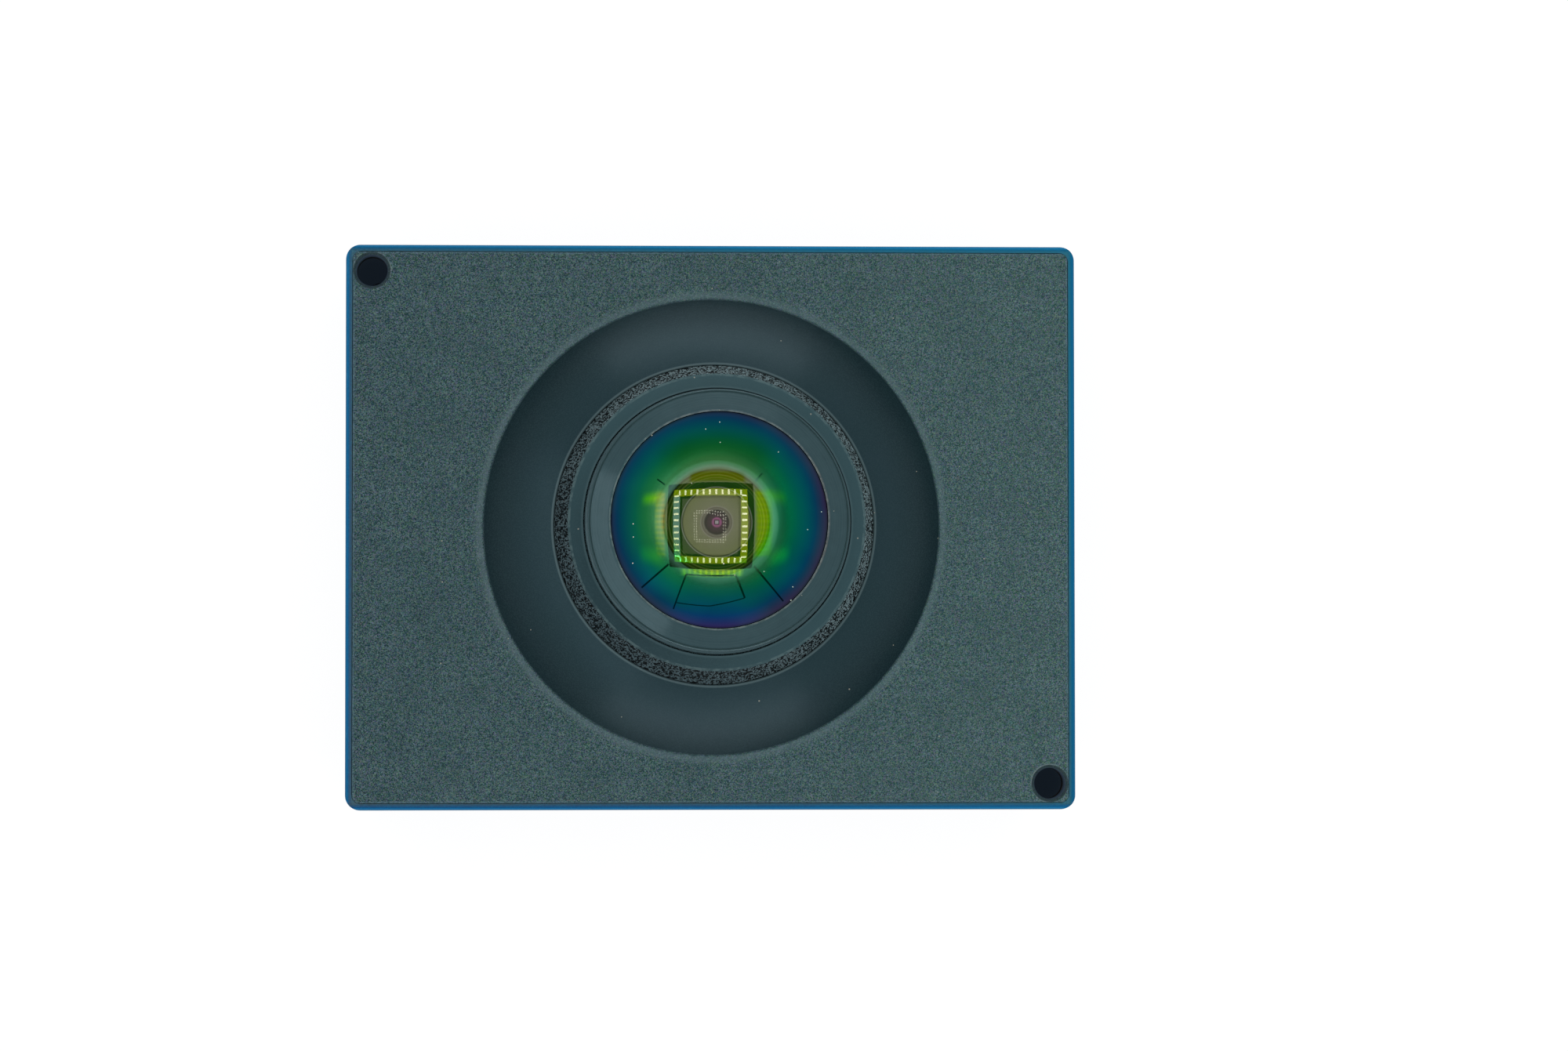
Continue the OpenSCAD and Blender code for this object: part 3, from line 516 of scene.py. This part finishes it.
dress(blue_housing(), "rear_housing")
dress(moulded_cover(), "front_cover")
dress(textured_shroud(), "lens_shroud")
dress(black_anodised("black_cap", srgb(50, 74, 80), srgb(59, 86, 92), rough=0.19, edge=GLASS_R),
      "retaining_cap")
dress(black_anodised("black_barrel", srgb(22, 30, 33), srgb(34, 44, 48), rough=0.5),
      "lens_barrel", "lens_lock_ring", "front_spacer", "middle_spacer", "rear_spacer",
      "aperture_stop")
dress(coated_glass(), "front_element")
dress(ringed_glass(), "second_element")
dress(inner_glass("third_glass", srgb(90, 70, 84), srgb(96, 96, 80), clear=0.3),
      "third_element", "fourth_element", "rear_element")
dress(plain("clear_glass", srgb(150, 178, 184), srgb(170, 196, 200), rough=0.1),
      "infrared_filter", "sensor_glass")
dress(plain("seal_rubber", srgb(26, 28, 29), srgb(38, 40, 41), rough=0.75), "cover_gasket",
      "barrel_seal")
dress(plain("thermal_rubber", srgb(120, 132, 148), srgb(140, 152, 166), rough=0.7), "thermal_pad")
dress(plain("inner_plastic", srgb(28, 30, 32), srgb(44, 47, 49), rough=0.6), "lens_mount")
dress(plain("circuit_board", srgb(14, 70, 38), srgb(24, 92, 50), size=1.6, rough=0.35),
      "sensor_board", "main_board")
dress(plain("chip_plastic", srgb(32, 33, 35), srgb(50, 51, 54), rough=0.55), "processor_chip",
      "memory_chip", "power_inductors", "connector_tongue")
dress(plain("connector_plastic", srgb(206, 202, 184), srgb(226, 222, 206), rough=0.45),
      "mezzanine_plug", "mezzanine_socket")
dress(plain("ceramic", srgb(178, 168, 150), srgb(200, 190, 170), size=0.3, rough=0.6),
      "sensor_package", "ceramic_capacitors")
dress(plain("silicon", srgb(52, 44, 66), srgb(70, 58, 84), size=0.3, rough=0.15, metal=0.4),
      "sensor_die")
dress(plain("steel", srgb(150, 152, 156), srgb(196, 198, 201), size=0.5, rough=0.3, metal=0.9),
      "shield_can", "board_spacers", "board_screws", "mount_screws", "connector_shell")
dress(plain("black_steel", srgb(34, 34, 36), srgb(54, 54, 57), size=0.4, rough=0.4, metal=0.5),
      "cover_screws")
dress(plain("contact_brass", srgb(184, 140, 58), srgb(222, 180, 90), size=0.3, rough=0.25,
            metal=1.0), "connector_contacts")


# --- Camera --------------------------------------------------------------------------------

EYE = Vector((-10.312, -9.657, 313.167))
AIM = Vector((4.174, 0.101, 20.0))
UP = Vector((-0.00086, 0.99945, 0.03323))
LENS_MM = 117.17
SENSOR_MM = 36.0
# How near and how far the camera sees, in metres
CLIP_NEAR, CLIP_FAR = 0.01, 50.0

view = (AIM - EYE).normalized()
side = view.cross(UP).normalized()
camera = bpy.data.objects.new("camera", bpy.data.cameras.new("camera"))
bpy.context.scene.collection.objects.link(camera)
camera.matrix_world = (Matrix.Translation(EYE * MM)
                       @ Matrix((side, side.cross(view), -view)).transposed().to_4x4())
camera.data.lens = LENS_MM
camera.data.sensor_width = SENSOR_MM
camera.data.clip_start = CLIP_NEAR
camera.data.clip_end = CLIP_FAR
bpy.context.scene.camera = camera


# --- Table and light -----------------------------------------------------------------------

def seen(t):
    """1 for camera, mirror and glass rays."""
    path = t.add("LightPath").outputs
    both = t.math("MAXIMUM", path["Is Camera Ray"], path["Is Glossy Ray"])
    return t.math("MAXIMUM", both, path["Is Transmission Ray"])


def square_mesh(name, squares):
    """One mesh of flat squares: each is its four corners."""
    mesh = bpy.data.meshes.new(name)
    points = [Vector(p) * MM for s in squares for p in s]
    mesh.from_pydata(points, [], [range(4 * k, 4 * k + 4) for k in range(len(squares))])
    piece = bpy.data.objects.new(name, mesh)
    bpy.context.scene.collection.objects.link(piece)
    return piece


def flat_square(cx, cy, z, half_x, half_y):
    """The corners of a level rectangle."""
    return [(cx - half_x, cy - half_y, z), (cx + half_x, cy - half_y, z),
            (cx + half_x, cy + half_y, z), (cx - half_x, cy + half_y, z)]


# The table lights the part as a grey of TABLE_TONE. The camera, mirrors and glass see it in
# SEEN_TONE, so it keeps a faint shadow, and with a glow that makes it white, but not under the
# part, where the missing glow is a painted shadow.
TABLE_Z = -0.05
TABLE_HALF = 3000.0
TABLE_TONE = 0.42
SEEN_TONE = 0.16
SEEN_GLOW = 0.92
UNDER_SHADOW_INSET = 0.5
table = square_mesh("table", [flat_square(0, 0, TABLE_Z, TABLE_HALF, TABLE_HALF)])
mat, t = material("table_white")
tone = t.steps(seen(t), 0, 1, TABLE_TONE, SEEN_TONE, smooth=False)
grey = t.add("CombineColor", {"Red": tone, "Green": tone, "Blue": tone}).outputs[0]
white = t.add("BsdfDiffuse", {"Color": grey})
_, _, x, y, _ = t.place()
# Painted shadow: the table has no glow where it lies under the part
under = t.math("MULTIPLY", t.math("LESS_THAN", t.math("ABSOLUTE", x), BODY_X - UNDER_SHADOW_INSET),
               t.math("LESS_THAN", t.math("ABSOLUTE", y), BODY_Y - UNDER_SHADOW_INSET))
brightened_share = t.math("MULTIPLY", seen(t), t.math("SUBTRACT", 1.0, under))
glow = t.add("Emission", {"Color": (1, 1, 1, 1), "Strength": t.math("MULTIPLY", brightened_share, SEEN_GLOW)})
finish_with(t, t.add("AddShader", {0: white.outputs[0], 1: glow.outputs[0]}))
table.data.materials.append(mat)

# The room is seen white, and lights the part by ROOM_LIGHT
ROOM_LIGHT = 0.34
world = bpy.data.worlds.new("studio")
bpy.context.scene.world = world
t = Tree(world)
room = t.steps(seen(t), 0, 1, ROOM_LIGHT, 1.0, smooth=False)
back = t.add("Background", {"Color": (1, 1, 1, 1), "Strength": room})
t.add("OutputWorld", {"Surface": back.outputs[0]})


def softbox(name, place, aim, size_x, size_y, power):
    """A soft rectangular lamp that is not seen itself. Its power is in watts."""
    lamp = bpy.data.lights.new(name, "AREA")
    lamp.shape = "RECTANGLE"
    lamp.size = size_x * MM
    lamp.size_y = size_y * MM
    lamp.energy = power
    lamp.normalize = True
    holder = bpy.data.objects.new(name, lamp)
    bpy.context.scene.collection.objects.link(holder)
    away = (Vector(place) - Vector(aim)).normalized()
    turn = away.to_track_quat("Z", "Y").to_matrix().to_4x4()
    holder.matrix_world = Matrix.Translation(Vector(place) * MM) @ turn
    holder.visible_camera = False
    holder.visible_glossy = False
    return holder


def glossy_only(panel):
    """The lamp shows as gloss on the part, and adds no light to its diffuse colour."""
    panel.visible_glossy = True
    panel.visible_diffuse = False


softbox("top_light", place=(0, 0, 900), aim=(0, 0, 0), size_x=700, size_y=700, power=3.6)
for k in (-1, 1):
    glossy_only(softbox("side_light", place=(0, k * 600, 45), aim=(0, 0, 22), size_x=700,
                        size_y=78, power=0.97))
glossy_only(softbox("card_light", place=(-560, -200, 226), aim=(0, 0, 30), size_x=1200,
                    size_y=84, power=1.5))


# What only mirrors see, in the plane of a square lamp round the camera: the dark housing of the
# lamp with a strip of small lamps, and a light tent round it with glowing bars, seams and a door.
LAMP_X, LAMP_Y, LAMP_Z = -16.3, -9.4, 313.0
LAMP_HALF = 89.5
STRIP_HALF = 9.5
HOUSING_IN, HOUSING_OUT = 73.0, 117.0
LAMPS_A_SIDE = 11
DOT_STEP, DOT_LONG, DOT_WIDE = 4.6, 2.1, 2.3
# A smaller square of fainter dots inside the lamp, and the size of its dots beside the others
FAINT_HALF, FAINT_SIZE = 37.0, 0.62
TENT_HALF = 700.0
# Colour and strength of each glow
SEAM_GLOW = (0.05, 0.16, 0.16, 1), 1.0
HOUSING_GLOW = (0.01, 0.012, 0.012, 1), 1.0
PLATE_GLOW = (1.0, 1.0, 0.75, 1), 0.34
STRIP_GLOW = (0.85, 1.05, 0.0, 1), 1.5
LEFT_STRIP_GLOW = (0.5, 0.85, 0.9, 1), 1.7
DOT_GLOW = (1.0, 0.95, 0.72, 1), 7.4
FAINT_GLOW = (1.0, 0.95, 0.8, 1), 3.0
# Each patch of the tent: x, y, half sizes, softness of its edge, colour and pitch of its streaks
TENT_PATCHES = [
    (10, 215, 170, 75, 70, (0.9, 0.76, 0.46), 0),
    (-230, 20, 70, 150, 60, (2.8, 1.22, 1.0), 0),
    (-185, -165, 70, 60, 50, (1.8, 1.3, 1.4), 0),
    (0, -235, 90, 80, 45, (1.2, 0.82, 1.25), 0),
    (260, -20, 90, 200, 70, (0.25, 1.05, 1.1), 0),
    (0, -375, 180, 60, 50, (1.0, 1.0, 1.6), 0),
    (-190, 74, 34, 12, 18, (13.0, 2.8, 0.2), 0),
    (-200, -100, 40, 22, 22, (5.0, 2.0, 0.9), 0),
    (178, 78, 30, 14, 20, (1.8, 1.9, 0.5), 0),
    (190, -98, 36, 20, 22, (1.2, 2.0, 1.0), 0),
    (-160, -6, 15, 92, 6, (8.0, 1.8, 0.7), 15.6),
    (132, 0, 26, 92, 10, (0.9, 1.3, 0.05), 0),
    (132, 0, 22, 90, 8, (1.4, 2.0, 0.0), 15.6),
    (-12, -140, 88, 11, 5, (8.5, 3.2, 0.6), 15.6),
    (4, 127, 76, 17, 8, (0.62, 0.6, 0.0), 0)]
# Seams that run straight out from the axis: azimuth in degrees, from and to what distance, and
# half width
CORNER_SEAMS = [(221, 181, 362, 3), (311.5, 161, 398, 3), (143, 184, 222, 2), (47, 161, 199, 2)]
# The tent's door: a level top edge, sides that splay out alike, and a foot that runs level from
# the left side to a bend and then rises to the right side
DOOR_X, DOOR_HALF, DOOR_TOP = -14.5, 70.5, -146.5
DOOR_SPLAY = 0.41
DOOR_LEFT_END, DOOR_FOOT, DOOR_RIGHT_END = -309, -268, -236
DOOR_BEND_X = -19
DOOR_LINE, DOOR_RIGHT_LINE = 2.5, 3


def side_square(k, z, middle, half, length):
    """A flat strip on side k of the square lamp."""
    turn = (0, 1, 0, -1)[k], (1, 0, -1, 0)[k]
    sizes = (length, half) if turn[0] == 0 else (half, length)
    return flat_square(LAMP_X + turn[0] * middle, LAMP_Y + turn[1] * middle, z, *sizes)


def square_ring(z, inner, outer):
    """Four flat strips that make a square ring."""
    mid, half = (inner + outer) / 2, (outer - inner) / 2
    return [side_square(k, z, mid, half, outer if k % 2 == 0 else inner) for k in range(4)]


def lamp_dots(z, ring_half, size, steps):
    """Rows of dots along the square: each row has a dot at every step away from the ring."""
    dots = []
    pitch = 2 * ring_half / LAMPS_A_SIDE
    for k in range(LAMPS_A_SIDE):
        along = (k + 0.5) * pitch - ring_half
        for s in (-1, 1):
            for d in steps:
                away = s * (ring_half + d * DOT_STEP * size)
                wide, long = DOT_WIDE * size, DOT_LONG * size
                dots.append(flat_square(LAMP_X + along, LAMP_Y + away, z, wide, long))
                dots.append(flat_square(LAMP_X + away, LAMP_Y + along, z, long, wide))
    return dots


def mirror_only(piece, colour, strength):
    """A light that only mirrors see."""
    mat, t = material(piece.name + "_glow")
    finish_with(t, t.add("Emission", {"Color": colour, "Strength": strength}))
    show_to_mirrors(piece, mat)


def show_to_mirrors(piece, mat):
    """Gives the piece its material, and hides it from all but mirrors."""
    piece.data.materials.append(mat)
    piece.visible_camera = False
    piece.visible_diffuse = False
    piece.visible_shadow = False
    piece.visible_transmission = False


def tent_roof():
    """A white sheet with soft patches of other brightness and colour."""
    mat, t = material("tent_roof")
    _, _, x, y, _ = t.place()
    colour = (1, 1, 1, 1)
    for px, py, half_x, half_y, soft, tint, pitch in TENT_PATCHES:
        off_x = t.math("ABSOLUTE", t.math("SUBTRACT", x, px))
        off_y = t.math("ABSOLUTE", t.math("SUBTRACT", y, py))
        share = t.math("MULTIPLY", t.steps(off_x, half_x - soft, half_x + soft, 1.0, 0.0),
                       t.steps(off_y, half_y - soft, half_y + soft, 1.0, 0.0))
        if pitch:
            along = t.math("MULTIPLY", y if half_y > half_x else x, math.tau / pitch)
            share = t.math("MULTIPLY", share, t.steps(t.math("SINE", along), -0.4, 0.8, 0.45, 1.0))
        colour = t.mix(share, colour, (*tint, 1))
    finish_with(t, t.add("Emission", {"Color": colour}))
    return mat


def from_axis(turn, away):
    """The point at an azimuth in degrees and a distance from the axis."""
    return away * math.cos(math.radians(turn)), away * math.sin(math.radians(turn))


def on_door(s, y):
    """The point at y on the door's left side, where s is -1, or on its right side, where it is 1."""
    return DOOR_X + s * (DOOR_HALF + DOOR_SPLAY * (DOOR_TOP - y)), y


def tent_seams():
    """The corner seams and the outline of the door, each line as two ends and a half width."""
    bend = DOOR_BEND_X, DOOR_FOOT
    corners = [(from_axis(turn, near), from_axis(turn, far), half)
               for turn, near, far, half in CORNER_SEAMS]
    return corners + [
        (on_door(-1, DOOR_TOP), on_door(1, DOOR_TOP), DOOR_LINE),
        (on_door(1, DOOR_TOP), on_door(1, DOOR_RIGHT_END), DOOR_RIGHT_LINE),
        (on_door(-1, DOOR_TOP), on_door(-1, DOOR_LEFT_END), DOOR_LINE),
        (on_door(-1, DOOR_FOOT), bend, DOOR_LINE),
        (bend, on_door(1, DOOR_RIGHT_END), DOOR_LINE)]


def seam(start, end, half, z):
    """A thin strip from start to end."""
    a, b = Vector((*start, z)), Vector((*end, z))
    off = (b - a).normalized().cross(Vector((0, 0, 1))) * half
    return [a - off, b - off, b + off, a + off]


show_to_mirrors(square_mesh("tent_roof", [flat_square(0, 0, LAMP_Z + 2, TENT_HALF, TENT_HALF)]),
                tent_roof())
mirror_only(square_mesh("tent_seams", [seam(*line, LAMP_Z + 1) for line in tent_seams()]),
            *SEAM_GLOW)
mirror_only(square_mesh("lamp_housing", square_ring(LAMP_Z, HOUSING_IN, HOUSING_OUT)),
            *HOUSING_GLOW)
plate = flat_square(LAMP_X, LAMP_Y, LAMP_Z + 0.5, HOUSING_IN, HOUSING_IN)
mirror_only(square_mesh("camera_plate", [plate]), *PLATE_GLOW)
strips = square_ring(LAMP_Z - 1, LAMP_HALF - STRIP_HALF, LAMP_HALF + STRIP_HALF)
mirror_only(square_mesh("lamp_strip", strips[:3]), *STRIP_GLOW)
mirror_only(square_mesh("lamp_strip_left", strips[3:]), *LEFT_STRIP_GLOW)
bright = lamp_dots(LAMP_Z - 2, LAMP_HALF, 1.0, (-1, 0, 1))
mirror_only(square_mesh("lamp_dots", bright), *DOT_GLOW)
faint = lamp_dots(LAMP_Z - 2, FAINT_HALF, FAINT_SIZE, (-1, 1))
mirror_only(square_mesh("faint_dots", faint), *FAINT_GLOW)

# The coated glass lets light in to the lenses below it
NODES["front_element"].visible_shadow = False

bpy.context.scene.view_settings.view_transform = "Standard"
